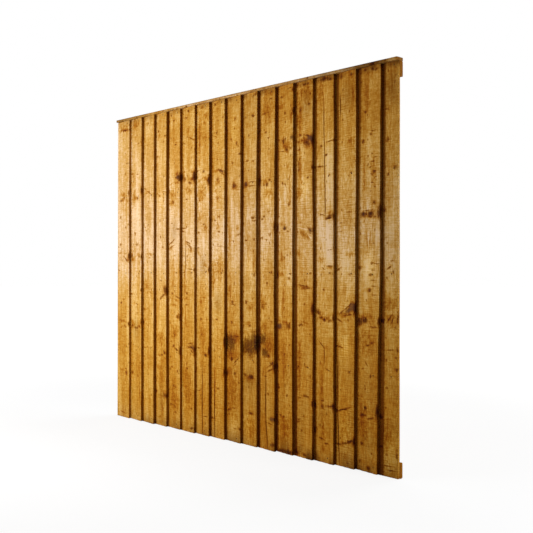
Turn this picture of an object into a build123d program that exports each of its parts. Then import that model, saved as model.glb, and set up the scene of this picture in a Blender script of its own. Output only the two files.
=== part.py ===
import os

from build123d import *

# Featheredge fence panel: tapered softwood boards, each lapping the next,
# nailed to horizontal rails under a capping strip.
# Frame: X along the panel, left to right as seen from the boarded side.
# Y is depth: the boards are at -Y and the rails at +Y. Z is up.
# The origin is at the foot of the bottom rail's left end, on its front.
# All lengths are in millimetres.

panel_width = 1829.0
panel_height = 1524.0

# Featheredge board, sawn on a slant: thin edge on the left, thick on the right
board_width = 125.0
thick_edge = 12.0
thin_edge = 5.0
lap = 16.5

# The boards were spaced by eye: each value widens or narrows one step
spacing_error = (
    -3.0, -1.0, -7.0, -2.0, 2.0, -3.0, -1.0, -1.0,
    -4.0, 1.0, -1.0, 4.0, 2.0, 4.0, 10.0, 0.5,
)

# The last boards lean. This is how far the feet of the last three stand to
# the left of their heads.
lean_of_last = (8.0, 16.0, 16.0)

# Rails behind the boards
rail_height = 58.0
rail_thickness = 16.0
rail_round = 4.0
middle_rail_count = 3
middle_rail_setback = 40.0

# The middle rails are nailed on by eye: how far each one stands above or below
# its even place
middle_rail_nudge = (-27.5, -16.0, 1.5)

# Capping strip over the heads of the boards and the top rail
cap_height = 12.0
cap_overhang = 2.0
cap_left_setback = 12.0
cap_round = 3.0

board_top = panel_height - cap_height


def thickness_at(distance):
    """Thickness of a board at a distance from its thin edge."""
    return thin_edge + (thick_edge - thin_edge) * distance / board_width


# Left edge of each board. The last one is ripped down to fit.
starts = [0.0]
while starts[-1] + board_width < panel_width:
    error = spacing_error[(len(starts) - 1) % len(spacing_error)]
    starts.append(starts[-1] + board_width - lap + error)
board_count = len(starts)
ends = [start + board_width for start in starts]
ends[-1] = panel_width
leans = [0.0] * (board_count - len(lean_of_last)) + list(lean_of_last)

# Rise of each board's back per millimetre of width. The last board lies flat
# on the rails, and every other thick edge rests on the next board's face.
slopes = [0.0] * board_count
for index in range(board_count - 2, -1, -1):
    head_lap = ends[index] - starts[index + 1]
    foot_lap = head_lap + leans[index + 1] - leans[index]
    widest_lap = max(head_lap, foot_lap)
    rise = slopes[index + 1] * widest_lap + thickness_at(widest_lap)
    slopes[index] = rise / board_width

os.makedirs("parts", exist_ok=True)

# The boards, each lofted from its foot to its head
relief = 0.0
for index in range(board_count):
    name = f"board_{index + 1:02d}"
    with BuildPart() as board:
        for height, lean in ((0.0, leans[index]), (board_top, 0.0)):
            left = starts[index] - lean
            right = ends[index] - lean
            if index == board_count - 1:
                right = panel_width
            back = slopes[index] * (right - left)
            front = back + thickness_at(right - left)
            relief = max(relief, front)
            with BuildSketch(Plane.XY.offset(height)):
                with BuildLine():
                    Polyline(
                        (left, 0.0),
                        (left, -thin_edge),
                        (right, -front),
                        (right, -back),
                        close=True,
                    )
                make_face()
        loft(ruled=True)
    board.part.label = name
    export_step(board.part, f"parts/{name}.step")

# The rails, from the foot of the panel up. Their back arrises are eased.
rail_gap = (board_top - rail_height) / (middle_rail_count + 1)
rail_names = ["rail_bottom"]
rail_names += [f"rail_middle_{n + 1}" for n in range(middle_rail_count)]
rail_names += ["rail_top"]
for index, name in enumerate(rail_names):
    in_middle = name.startswith("rail_middle")
    setback = middle_rail_setback if in_middle else 0.0
    nudge = middle_rail_nudge[(index - 1) % len(middle_rail_nudge)] if in_middle else 0.0
    with BuildPart() as rail:
        with BuildSketch(Plane.YZ.offset(setback)) as section:
            with Locations((0.0, index * rail_gap + nudge)):
                Rectangle(
                    rail_thickness,
                    rail_height,
                    align=(Align.MIN, Align.MIN),
                )
            back_corners = section.vertices().group_by(Axis.X)[-1]
            fillet(back_corners, radius=rail_round)
        extrude(amount=panel_width - 2 * setback)
    rail.part.label = name
    export_step(rail.part, f"parts/{name}.step")

# The capping strip, flush with the backs of the rails and a little proud of
# the boards' thick edges
with BuildPart() as cap:
    with BuildSketch(Plane.YZ.offset(cap_left_setback)) as section:
        with Locations((rail_thickness, board_top)):
            Rectangle(
                rail_thickness + relief + cap_overhang,
                cap_height,
                align=(Align.MAX, Align.MIN),
            )
        top_corners = section.vertices().group_by(Axis.Y)[-1]
        fillet(top_corners, radius=cap_round)
    extrude(amount=panel_width - cap_left_setback)
cap.part.label = "cap"
export_step(cap.part, "parts/cap.step")
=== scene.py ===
import math

import bpy
import numpy as np
from mathutils import Matrix, Vector


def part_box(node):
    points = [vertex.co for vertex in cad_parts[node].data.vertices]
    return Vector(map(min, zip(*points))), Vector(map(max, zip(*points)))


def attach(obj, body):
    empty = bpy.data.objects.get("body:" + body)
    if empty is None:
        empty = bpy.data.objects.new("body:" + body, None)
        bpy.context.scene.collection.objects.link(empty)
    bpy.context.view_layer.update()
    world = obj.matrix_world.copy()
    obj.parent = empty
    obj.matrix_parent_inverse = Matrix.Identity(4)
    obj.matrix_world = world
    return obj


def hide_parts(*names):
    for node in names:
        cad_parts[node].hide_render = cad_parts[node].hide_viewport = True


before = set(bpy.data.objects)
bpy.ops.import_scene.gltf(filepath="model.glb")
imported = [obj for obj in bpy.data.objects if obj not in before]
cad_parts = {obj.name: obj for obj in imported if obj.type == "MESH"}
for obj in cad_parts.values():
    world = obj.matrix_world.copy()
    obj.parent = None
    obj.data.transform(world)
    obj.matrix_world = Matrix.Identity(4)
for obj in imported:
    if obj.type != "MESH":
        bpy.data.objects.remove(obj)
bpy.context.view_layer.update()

# A weathered featheredge fence panel. Lengths are in mm, and points of meshes,
# lamps and the camera in metres. X runs along the panel, Y from the boards to
# the rails, and Z up.
MM = 0.001
WIDTH, HEIGHT = 1829.0, 1524.0
BOARD_COUNT = 17
NAIL_ROWS = (27.0, 402.0, 785.0, 1159.0, 1502.0)
THICK_EDGE = 12.0
TURN = 2.0 * math.pi

# Widths of the growth rings in the boards and in the bars
BOARD_RING, BAR_RING = 5.2, 4.6

# How far a board's two arrises are rounded, how far from a split the points
# follow it, and over what length a split tapers at its ends
THICK_ARRIS, THIN_ARRIS, SPLIT_REACH, SPLIT_TAPER = 2.2, 1.5, 14.0, 25.0

# Rows of points down a board and along a bar, and points across a bar's face
BOARD_ROWS, BAR_ROWS, BAR_STEPS = 300, 260, 11

# Marks on the boards' faces, by board and kind. Each is an ellipse: its centre
# (mm from the board's thin edge, mm down from the panel's top), its half-sizes
# across and along the board, its strength in percent, and its turn in degrees
# where it is turned. Dark, black and purple marks are knots, warm ones whorls
# that took up stain, light and grey ones pale or dull spots, rings the ripples
# around a knot, and cracks fine dark lines. A burr is a knotty swelling, and a
# panel is a paler oblong. A tint is a broad patch, darker than its board or,
# where its strength is negative, paler.
MARKS = {
    1: {
        "warm": [
            (35, 58, 26, 5, 80, -25), (68, 55, 62, 9, 100, 4), (75, 58, 50, 8, 90, 4),
            (80, 52, 40, 5, 80, 8), (62, 36, 60, 22, 35), (62, 388, 34, 13, 70, 15), (55, 412, 34, 12, 70),
            (110, 420, 20, 12, 50), (32, 685, 24, 7, 70), (84, 690, 22, 6, 60), (105, 722, 22, 12, 60, 20),
            (66, 922, 14, 7, 40), (55, 1032, 45, 8, 75, 5), (40, 1066, 30, 4, 70, -8),
            (50, 1281, 28, 9, 60, 5), (60, 1498, 50, 5, 50, 8),
        ],
        "dark": [
            (80, 60, 44, 6, 35, 4), (103, 231, 7, 4, 45), (70, 403, 11, 4, 55, 5), (40, 416, 14, 8, 35),
            (119, 383, 8, 12, 60), (32, 503, 8, 6, 30), (90, 555, 9, 6, 35), (32, 643, 9, 8, 40),
            (90, 716, 26, 4, 50, 32), (124, 703, 11, 20, 95), (18, 777, 12, 5, 35), (42, 940, 9, 6, 50),
            (82, 1057, 16, 8, 45, 8), (120, 1046, 10, 12, 50), (90, 1273, 11, 3, 40),
            (98, 1294, 12, 12, 50),
        ],
        "grey": [(84, 284, 12, 7, 30), (55, 581, 12, 7, 25)],
        "light": [(47, 1048, 12, 5, 60)],
        "ring": [(30, 712, 18, 10, 40), (34, 1306, 16, 11, 40)],
    },
    2: {
        "warm": [
            (62, 40, 50, 30, 60), (42, 301, 11, 6, 50), (62, 412, 32, 24, 95), (60, 378, 12, 16, 60),
            (38, 456, 12, 5, 40), (42, 719, 22, 10, 85, -10), (96, 695, 22, 9, 80), (55, 936, 14, 15, 50),
            (44, 1044, 26, 22, 80), (108, 1054, 22, 10, 60), (96, 1300, 16, 8, 45), (110, 1370, 9, 60, 50),
        ],
        "dark": [
            (97, 138, 9, 3, 35), (35, 287, 12, 6, 40), (88, 293, 13, 4, 35), (88, 413, 9, 7, 50),
            (125, 376, 9, 16, 90), (62, 587, 9, 8, 55), (84, 643, 12, 8, 55), (30, 700, 10, 12, 60),
            (104, 706, 9, 4, 35), (125, 708, 6, 16, 70), (108, 777, 6, 4, 35), (26, 894, 14, 4, 50),
            (125, 870, 6, 8, 60), (82, 942, 13, 4, 40, 8), (72, 1061, 22, 6, 45), (36, 1052, 12, 10, 40),
            (125, 1030, 7, 14, 60), (36, 1289, 16, 11, 50),
        ],
        "black": [(6, 374, 12, 24, 80)],
        "grey": [(88, 510, 10, 6, 25), (75, 1216, 15, 7, 25)],
        "tint": [(75, 1070, 55, 100, 30)],
    },
    3: {
        "warm": [
            (70, 280, 12, 6, 30), (66, 384, 30, 4, 60, 10), (40, 392, 20, 14, 50), (50, 578, 16, 4, 30),
            (48, 637, 10, 6, 30), (88, 694, 46, 6, 85, 3), (85, 712, 14, 5, 40), (62, 858, 34, 3, 50, -8),
            (84, 880, 34, 7, 40, 12), (42, 966, 18, 9, 40), (45, 1015, 14, 9, 45), (66, 1043, 18, 7, 45, 8),
            (72, 1286, 14, 8, 50), (60, 860, 50, 60, 15),
        ],
        "dark": [
            (34, 368, 12, 4, 40, 25), (86, 394, 22, 3, 40, 24), (104, 403, 8, 3, 50, 10),
            (38, 560, 12, 3, 35, 10), (71, 550, 11, 4, 30), (28, 1030, 8, 20, 40), (38, 1155, 16, 3, 30),
            (102, 1152, 9, 5, 25),
        ],
        "black": [(6, 368, 14, 20, 70)],
        "grey": [(102, 770, 7, 6, 30)],
        "tint": [(75, 110, 60, 110, -15)],
    },
    4: {
        "warm": [
            (57, 122, 12, 20, 60), (60, 222, 13, 9, 50), (104, 425, 14, 9, 50), (46, 402, 16, 4, 50, 20),
            (38, 797, 12, 4, 40), (45, 912, 14, 6, 50), (80, 1100, 60, 60, 25), (66, 1184, 24, 8, 60),
            (116, 1194, 12, 6, 50), (80, 1290, 40, 90, 45), (90, 1378, 30, 6, 60), (68, 1481, 16, 9, 50),
            (90, 1440, 12, 70, 35),
        ],
        "dark": [
            (52, 97, 9, 6, 50), (10, 376, 14, 20, 70), (113, 127, 13, 4, 45, 5), (38, 218, 10, 5, 35),
            (62, 413, 9, 5, 60, 25), (104, 394, 18, 2, 40, -4), (72, 611, 8, 7, 50), (95, 662, 11, 6, 35),
            (77, 822, 10, 5, 30), (121, 868, 22, 24, 90), (98, 894, 26, 6, 70, -24),
            (76, 908, 10, 6, 55, -15), (112, 1170, 10, 7, 70), (88, 1181, 10, 5, 35), (36, 1361, 6, 8, 60),
            (120, 1373, 24, 13, 80),
        ],
        "grey": [(90, 315, 7, 6, 30), (92, 997, 8, 5, 30)],
        "tint": [(75, 430, 55, 90, -25), (78, 1400, 55, 100, 30)],
    },
    5: {
        "warm": [
            (98, 167, 18, 3, 50), (95, 318, 24, 9, 70), (98, 358, 26, 6, 80), (42, 362, 18, 4, 60, -12),
            (56, 381, 24, 3, 50, 8), (60, 418, 30, 26, 95), (52, 452, 26, 18, 80), (44, 668, 24, 14, 60),
            (100, 915, 22, 6, 60, 10), (80, 938, 34, 6, 50), (80, 1070, 50, 50, 30),
            (46, 1112, 22, 3, 60, 8), (80, 1400, 50, 90, 25),
        ],
        "dark": [
            (10, 392, 14, 24, 80), (49, 33, 8, 7, 45), (67, 61, 9, 5, 40), (26, 156, 6, 12, 50),
            (88, 177, 11, 4, 40), (92, 333, 20, 3, 40, 15), (65, 448, 8, 8, 40), (52, 549, 9, 4, 50),
            (110, 577, 18, 4, 60, 3), (52, 640, 30, 4, 60, -28), (58, 660, 26, 3, 45, -18),
            (97, 785, 10, 3, 40), (57, 883, 9, 6, 45), (112, 902, 20, 4, 70, 14), (110, 991, 14, 8, 60),
            (125, 995, 8, 14, 80), (70, 1130, 12, 8, 50), (100, 1148, 24, 5, 50, 16),
            (125, 1152, 9, 20, 90), (55, 1232, 13, 4, 35), (107, 1248, 8, 9, 35), (70, 1320, 9, 6, 55),
            (90, 1325, 6, 6, 50), (58, 1412, 13, 3, 35), (88, 1445, 8, 6, 30),
        ],
        "black": [(121, 334, 16, 20, 100)],
        "purple": [(104, 336, 25, 13, 50, 5)],
        "tint": [(75, 590, 55, 90, 35)],
    },
    6: {
        "warm": [
            (68, 122, 16, 22, 55), (32, 312, 14, 7, 60), (100, 350, 24, 12, 80), (108, 318, 18, 6, 60),
            (75, 405, 40, 26, 35), (100, 480, 12, 4, 30), (96, 682, 26, 12, 70, 20), (42, 800, 12, 110, 50),
            (42, 906, 22, 6, 60), (50, 1000, 12, 60, 40), (70, 1300, 60, 160, 20),
        ],
        "dark": [
            (70, 30, 10, 7, 50), (53, 60, 9, 6, 50), (98, 162, 22, 4, 60, 22), (36, 178, 16, 3, 40, 20),
            (40, 348, 13, 9, 55), (88, 367, 18, 6, 60, 18), (55, 441, 11, 4, 40), (32, 577, 22, 3, 60, 3),
            (30, 592, 16, 3, 50, 12), (64, 642, 26, 4, 60, 18), (84, 660, 30, 4, 55, 24),
            (88, 668, 22, 3, 50, 24), (30, 706, 16, 2, 40), (98, 768, 34, 2.4, 50, 4),
            (30, 783, 18, 2.4, 50), (124, 770, 7, 10, 50), (60, 879, 12, 7, 40), (57, 933, 12, 5, 50),
            (97, 785, 8, 4, 30), (90, 1112, 26, 4, 50, -6), (84, 1130, 24, 5, 55, 4),
            (104, 1132, 26, 4, 70, 26), (108, 1150, 22, 4, 60, 34), (125, 1145, 9, 22, 85),
            (68, 1230, 6, 4, 35), (102, 1413, 13, 4, 50, -6), (108, 1503, 20, 5, 60, -12),
        ],
        "black": [(18, 334, 14, 18, 80), (121, 340, 13, 20, 100)],
        "purple": [(112, 1128, 18, 16, 60, 20)],
        "crack": [(48, 718, 1.8, 56, 100)],
    },
    7: {
        "warm": [
            (65, 28, 17, 8, 60), (100, 70, 30, 18, 60), (90, 102, 18, 18, 50), (47, 170, 8, 130, 60),
            (90, 168, 24, 8, 60, 8), (45, 362, 26, 8, 60, -16), (96, 356, 32, 8, 75, 18),
            (60, 424, 32, 34, 100), (58, 424, 26, 30, 100), (50, 450, 22, 18, 70), (46, 530, 16, 34, 45),
            (98, 578, 22, 17, 45), (42, 690, 15, 24, 60), (95, 750, 17, 12, 45), (60, 915, 14, 9, 45),
            (85, 898, 34, 4, 35), (106, 996, 13, 12, 35), (86, 1146, 18, 6, 50), (80, 1060, 34, 60, 30),
        ],
        "dark": [
            (36, 316, 18, 3, 40, -4), (45, 452, 6, 4, 40), (83, 563, 9, 4, 55), (40, 600, 10, 4, 50),
            (36, 669, 18, 2, 45), (103, 777, 11, 4, 50), (125, 770, 8, 14, 50), (62, 996, 9, 8, 35),
            (44, 1128, 20, 4, 40), (101, 1156, 14, 8, 50, 10), (125, 1140, 8, 18, 60),
            (46, 1322, 17, 3, 45, -8), (96, 1436, 20, 2.4, 50, -4),
        ],
        "black": [(14, 340, 14, 20, 80), (122, 366, 11, 20, 90)],
        "purple": [(80, 322, 12, 9, 65)],
        "light": [(82, 650, 16, 70, 40)],
        "crack": [(73, 1375, 3.2, 150, 100)],
        "tint": [(75, 750, 55, 90, 35)],
    },
    8: {
        "warm": [
            (52, 172, 18, 5, 40, 20), (56, 326, 28, 9, 70), (76, 378, 34, 16, 50), (58, 417, 13, 11, 75),
            (92, 422, 12, 5, 45), (76, 448, 30, 22, 35), (78, 578, 22, 14, 35), (85, 760, 60, 92, 22),
            (44, 810, 12, 80, 50), (65, 915, 13, 6, 50), (92, 1122, 34, 4, 50, 10), (52, 1300, 10, 150, 60),
        ],
        "dark": [
            (53, 26, 10, 8, 50), (65, 155, 7, 9, 40), (96, 327, 24, 6, 70, 14), (108, 343, 20, 3, 60, 22),
            (72, 365, 12, 12, 35), (80, 533, 12, 6, 45), (52, 548, 10, 5, 40), (82, 600, 11, 5, 55),
            (84, 665, 40, 1.6, 40, 2), (65, 992, 11, 4, 45), (50, 1133, 10, 6, 50), (76, 1300, 11, 6, 40),
            (37, 1437, 13, 6, 60), (125, 1225, 8, 18, 70), (125, 1085, 8, 22, 80),
        ],
        "purple": [(112, 335, 18, 9, 70, 14)],
        "light": [(50, 653, 12, 7, 70), (50, 850, 4, 40, 50), (118, 640, 8, 300, 25)],
        "crack": [(51, 1400, 3.2, 130, 100)],
        "tint": [(75, 915, 55, 90, 35)],
    },
    9: {
        "warm": [
            (80, 408, 26, 18, 40), (106, 422, 24, 5, 70, 5), (106, 590, 17, 14, 60), (42, 640, 16, 120, 35),
            (48, 860, 22, 100, 30), (80, 1070, 60, 30, 80), (70, 1140, 60, 24, 75), (46, 1212, 22, 16, 80),
            (90, 1236, 26, 8, 50), (70, 1330, 60, 150, 20),
        ],
        "dark": [
            (85, 110, 9, 8, 60), (57, 197, 7, 9, 50), (97, 219, 9, 8, 55), (109, 232, 5, 6, 40),
            (120, 267, 10, 6, 60), (65, 301, 7, 6, 45), (78, 403, 14, 11, 85), (112, 617, 16, 6, 70, -12),
            (75, 645, 8, 6, 30), (82, 828, 5, 9, 40), (68, 912, 9, 10, 65), (74, 921, 20, 5, 40, 8),
            (62, 1000, 7, 7, 40), (105, 1060, 18, 3, 45), (62, 1161, 14, 8, 60), (92, 1170, 20, 4, 45, -34),
            (108, 1160, 18, 3, 40, -30), (88, 1184, 14, 3, 40, -30), (30, 1226, 16, 12, 50),
            (85, 1222, 11, 9, 60), (42, 1385, 17, 5, 50, -14), (80, 1375, 12, 4, 45), (85, 1463, 13, 5, 35),
            (121, 1462, 9, 6, 50),
        ],
        "black": [(18, 1090, 16, 40, 80)],
        "light": [(58, 520, 12, 110, 50, 4)],
        "burr": [(52, 1092, 34, 34, 100)],
        "tint": [
            (75, 170, 55, 170, -35), (75, 1450, 55, 130, -28), (36, 1094, 13, 3, -160, 22),
            (46, 1104, 13, 3, -140, 30), (38, 1112, 11, 3, -120, 12),
        ],
    },
    10: {
        "warm": [
            (95, 100, 24, 5, 40, 10), (108, 750, 10, 60, 55), (84, 930, 30, 24, 55), (68, 1000, 30, 14, 45),
            (80, 1110, 70, 36, 85), (75, 1236, 44, 16, 60), (85, 1384, 26, 12, 40), (75, 1450, 60, 70, 20),
        ],
        "dark": [
            (113, 22, 14, 6, 70), (97, 31, 6, 5, 40), (97, 112, 11, 6, 65, 8), (28, 218, 5, 7, 50),
            (57, 302, 11, 5, 40), (101, 305, 7, 4, 40), (46, 404, 14, 11, 85), (92, 393, 34, 2, 35),
            (92, 411, 34, 3, 40), (103, 547, 15, 6, 70), (110, 560, 20, 3, 50), (50, 644, 9, 4, 55),
            (110, 640, 11, 6, 40), (112, 790, 5, 9, 80), (52, 910, 8, 9, 70), (78, 1009, 9, 5, 50),
            (42, 1222, 11, 9, 65), (88, 1227, 17, 9, 85), (85, 1382, 12, 8, 70),
        ],
        "black": [(125, 1080, 13, 36, 90)],
        "purple": [(42, 110, 9, 8, 40), (46, 398, 18, 15, 40)],
        "grey": [(70, 194, 12, 6, 25), (65, 1165, 9, 8, 50)],
        "light": [(62, 520, 12, 100, 35), (50, 700, 7, 46, 85, 4), (42, 664, 12, 14, 40)],
        "burr": [(82, 1096, 62, 36, 100, -8), (112, 1078, 28, 40, 100)],
        "tint": [
            (75, 750, 55, 90, -45), (75, 1240, 55, 90, 30), (75, 1450, 55, 130, -45),
            (75, 1060, 60, 60, -10), (114, 1086, 12, 3, -160, -42), (101, 1097, 14, 3, -160, -42),
            (88, 1104, 13, 3, -140, -38), (75, 1099, 13, 3, -130, -35), (60, 1107, 12, 3, -120, -35),
        ],
    },
    11: {
        "warm": [
            (85, 28, 40, 14, 60, 8), (75, 100, 50, 60, 25), (62, 400, 24, 14, 60), (84, 445, 30, 18, 75),
            (46, 910, 26, 44, 55), (62, 1010, 50, 60, 30), (85, 1085, 50, 55, 85),
        ],
        "dark": [
            (100, 55, 9, 5, 45), (52, 112, 12, 6, 45), (80, 110, 13, 3, 35), (65, 193, 9, 5, 35),
            (82, 217, 9, 5, 35), (90, 265, 9, 6, 45), (75, 412, 11, 9, 75), (94, 393, 7, 7, 45),
            (55, 413, 9, 4, 40), (24, 392, 10, 22, 60), (53, 545, 9, 5, 60), (42, 556, 11, 4, 60),
            (95, 622, 9, 7, 60), (38, 635, 13, 6, 50), (72, 644, 6, 6, 45), (108, 779, 6, 6, 50),
            (78, 825, 6, 6, 50), (46, 925, 9, 12, 30), (72, 914, 10, 4, 30), (110, 987, 9, 6, 50),
            (125, 590, 8, 18, 70), (86, 1130, 14, 9, 40), (104, 1164, 30, 5, 65, -30),
            (96, 1190, 26, 4, 55, -22), (62, 1218, 16, 2, 40), (85, 1290, 9, 8, 30),
            (96, 1412, 30, 2.4, 35, 6), (118, 1496, 16, 9, 50),
        ],
        "black": [(22, 1075, 14, 42, 70), (124, 1168, 10, 18, 85), (125, 1390, 6, 14, 60)],
        "purple": [(112, 1392, 24, 10, 60, -8)],
        "crack": [(67, 1310, 3.0, 92, 100), (74, 1455, 3.0, 62, 100, -6)],
        "burr": [(58, 1118, 24, 20, 70), (45, 1062, 30, 26, 60)],
        "tint": [(75, 440, 55, 90, -35)],
    },
    12: {
        "warm": [
            (50, 95, 24, 18, 40), (112, 150, 12, 40, 50), (80, 260, 50, 24, 60), (108, 430, 10, 90, 45),
            (50, 582, 18, 10, 70), (52, 730, 18, 40, 45), (50, 788, 22, 10, 85), (62, 900, 14, 80, 55),
            (80, 985, 40, 9, 60), (80, 1150, 40, 130, 30), (80, 1420, 46, 80, 40),
        ],
        "dark": [
            (123, 36, 8, 12, 60), (108, 27, 12, 3, 40), (53, 58, 9, 6, 40), (73, 127, 6, 7, 45),
            (125, 122, 9, 16, 85), (65, 240, 11, 13, 70), (85, 278, 10, 12, 55, -30),
            (52, 281, 22, 3, 40, 6), (112, 275, 7, 7, 50), (58, 415, 7, 7, 40), (75, 418, 7, 5, 40),
            (102, 501, 8, 9, 60), (73, 600, 9, 7, 50), (95, 612, 9, 4, 50), (26, 596, 8, 16, 60),
            (92, 709, 7, 3, 35), (26, 795, 8, 18, 60), (103, 804, 9, 6, 55), (112, 786, 7, 4, 40),
            (32, 1003, 14, 9, 60), (100, 998, 14, 11, 85, 20), (38, 1256, 7, 7, 50), (92, 1283, 6, 6, 60),
            (47, 1368, 8, 5, 60), (70, 1372, 9, 5, 35), (25, 1170, 7, 18, 60), (25, 1385, 7, 18, 60),
        ],
        "black": [(100, 1514, 30, 9, 80), (50, 1516, 18, 7, 60)],
        "purple": [(120, 232, 14, 13, 70), (73, 598, 13, 10, 85), (40, 1000, 22, 13, 85)],
        "light": [(72, 465, 10, 60, 40)],
        "tint": [(75, 1495, 60, 60, 45)],
    },
    13: {
        "warm": [
            (80, 60, 60, 50, 60), (46, 150, 24, 120, 75), (44, 360, 16, 120, 55), (60, 250, 44, 16, 70),
            (56, 420, 15, 13, 70), (44, 458, 20, 24, 80), (45, 580, 24, 5, 50), (74, 630, 36, 13, 100, 34),
            (38, 705, 15, 18, 60), (70, 840, 56, 9, 60, 2), (80, 982, 36, 6, 50, 10),
            (42, 1150, 10, 160, 50),
        ],
        "dark": [
            (78, 26, 24, 5, 35), (50, 125, 9, 9, 35), (102, 108, 11, 6, 35), (45, 227, 11, 7, 50),
            (35, 252, 9, 5, 40), (95, 234, 26, 5, 60, 14), (92, 262, 40, 20, 30, 20), (40, 285, 9, 6, 40),
            (42, 323, 6, 5, 50), (38, 350, 6, 20, 25), (95, 402, 8, 4, 50), (104, 608, 22, 4, 40, 34),
            (66, 834, 42, 3, 50, 6), (96, 843, 26, 3, 50, -4), (110, 782, 7, 5, 45),
            (50, 992, 22, 5, 55, -6), (38, 1160, 6, 6, 40), (90, 1158, 9, 3, 40), (86, 1275, 20, 5, 65, 4),
            (46, 1284, 18, 4, 35), (42, 1372, 16, 4, 40, -20), (36, 1382, 12, 4, 35, -20),
            (58, 1415, 7, 5, 40), (76, 1510, 12, 8, 50), (125, 925, 10, 20, 90), (125, 1300, 7, 14, 70),
            (125, 362, 8, 12, 70),
        ],
        "black": [(125, 254, 10, 20, 85), (24, 1508, 14, 12, 60)],
        "purple": [(106, 244, 28, 14, 70, 14), (114, 614, 20, 16, 70, 20)],
        "light": [(62, 604, 40, 3, 80, 12), (104, 636, 26, 3, 75, 40), (36, 1366, 9, 2, 50, -15)],
        "ring": [(50, 52, 20, 14, 35)],
        "tint": [(85, 110, 60, 100, 35), (75, 440, 55, 90, -40)],
    },
    14: {
        "warm": [
            (50, 80, 26, 70, 30), (106, 545, 22, 6, 50, -12), (52, 730, 26, 18, 50), (104, 762, 24, 6, 60),
            (70, 958, 56, 16, 50), (58, 1240, 18, 120, 40), (64, 1380, 16, 100, 40), (66, 1470, 20, 24, 40),
        ],
        "dark": [
            (108, 30, 18, 7, 30), (101, 268, 26, 3, 60, -5), (82, 321, 9, 5, 60, -8), (52, 282, 7, 7, 40),
            (42, 362, 26, 3.5, 80, 4), (100, 400, 6, 6, 45), (60, 553, 18, 2, 50, 14),
            (104, 562, 24, 8, 75, -18), (104, 691, 22, 3, 50, -8), (104, 755, 24, 4, 50, -2),
            (66, 764, 16, 2, 40, 26), (103, 781, 8, 4, 40), (68, 848, 7, 4, 45), (34, 934, 18, 9, 80, 28),
            (54, 957, 11, 5, 60), (72, 966, 11, 6, 55), (106, 968, 13, 6, 60, -15), (90, 1158, 7, 4, 50),
            (60, 1281, 16, 4, 35), (62, 1306, 10, 9, 50), (105, 1299, 24, 5, 50, -6),
            (56, 1431, 20, 4, 40, 8), (85, 1447, 12, 4, 65, -10), (125, 562, 8, 14, 80),
            (125, 268, 6, 8, 60), (125, 956, 8, 14, 70),
        ],
        "black": [
            (72, 22, 26, 9, 60), (98, 568, 18, 3, 70, -6), (124, 1300, 9, 14, 80), (17, 1402, 9, 13, 90),
            (17, 1302, 8, 13, 80),
        ],
        "light": [(62, 185, 3, 62, 50), (50, 610, 22, 110, 25), (98, 1170, 14, 180, 20)],
        "ring": [(100, 1074, 14, 9, 40)],
        "crack": [
            (69, 200, 2.1, 78, 100, -1), (73, 360, 2.1, 90, 100, -1), (77, 505, 2.1, 62, 100),
            (58, 1064, 1.8, 18, 100, -52), (73, 1102, 1.8, 24, 100),
        ],
        "panel": [(102, 410, 24, 140, 45), (102, 660, 21, 92, 75)],
    },
    15: {
        "warm": [
            (100, 282, 26, 22, 40), (113, 354, 10, 14, 40), (110, 120, 14, 120, 30), (96, 710, 34, 12, 50),
            (66, 945, 44, 20, 40), (76, 1380, 40, 100, 20),
        ],
        "dark": [
            (46, 28, 16, 10, 45), (100, 30, 12, 6, 25), (100, 400, 7, 5, 55), (88, 550, 17, 2.4, 50),
            (46, 590, 16, 2, 30), (40, 604, 14, 2, 30), (44, 622, 16, 2, 30), (34, 768, 18, 4, 60, -28),
            (95, 787, 7, 7, 45), (84, 912, 36, 3, 60, -32), (52, 933, 16, 4, 70, -38),
            (98, 940, 26, 3, 40, -8), (40, 963, 18, 4, 70, 20), (26, 1062, 12, 3, 50, -20),
            (42, 1064, 9, 4, 60), (56, 1068, 9, 3, 35, 8), (97, 1157, 9, 6, 50),
            (92, 1293, 18, 2.6, 50, -14), (40, 1441, 28, 4, 60), (78, 1431, 30, 4, 70, -12),
        ],
        "black": [
            (125, 916, 10, 22, 90), (14, 1305, 20, 5, 80, 18), (60, 1306, 32, 3.4, 75, -14),
            (108, 1419, 24, 5, 85, -14), (125, 1418, 8, 14, 80),
        ],
        "purple": [(96, 921, 34, 10, 85, -24), (112, 912, 15, 19, 90)],
        "grey": [(25, 1300, 6, 190, 40)],
        "crack": [(40, 140, 2.8, 36, 100, -1), (33, 1200, 2.8, 92, 100), (38, 1400, 2.8, 100, 100, -3)],
        "tint": [(80, 110, 60, 100, 30), (75, 1390, 55, 110, -55), (75, 1070, 55, 90, -35)],
    },
    16: {
        "warm": [
            (62, 36, 24, 9, 70), (55, 130, 24, 80, 40), (44, 440, 8, 120, 40), (90, 400, 20, 70, 30),
            (86, 520, 8, 40, 40, -8), (64, 566, 50, 22, 70), (48, 588, 9, 8, 60), (62, 660, 4, 80, 50, -6),
            (78, 655, 3, 66, 40, 6), (55, 945, 44, 18, 60), (50, 1340, 30, 110, 40), (66, 1040, 60, 70, 25),
        ],
        "dark": [
            (46, 22, 8, 5, 40), (84, 24, 8, 5, 50), (104, 30, 7, 8, 30), (47, 178, 9, 6, 50, 15),
            (78, 265, 9, 5, 60, 15), (37, 288, 8, 8, 65, 30), (90, 253, 18, 3, 30), (86, 338, 7, 3, 30, 12),
            (104, 352, 8, 3, 30, -8), (88, 368, 12, 3, 40, 5), (76, 388, 6, 3, 30, -14),
            (98, 405, 7, 5, 75), (82, 414, 8, 3, 35, 18), (106, 426, 7, 3, 30, -10), (84, 446, 10, 3, 30),
            (100, 462, 7, 3, 30, 14), (80, 478, 7, 3, 30, -6), (96, 520, 9, 9, 40), (62, 548, 32, 3, 40),
            (103, 574, 9, 6, 35), (88, 745, 10, 5, 65), (108, 746, 16, 2.4, 40), (26, 760, 11, 9, 60, 15),
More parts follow.
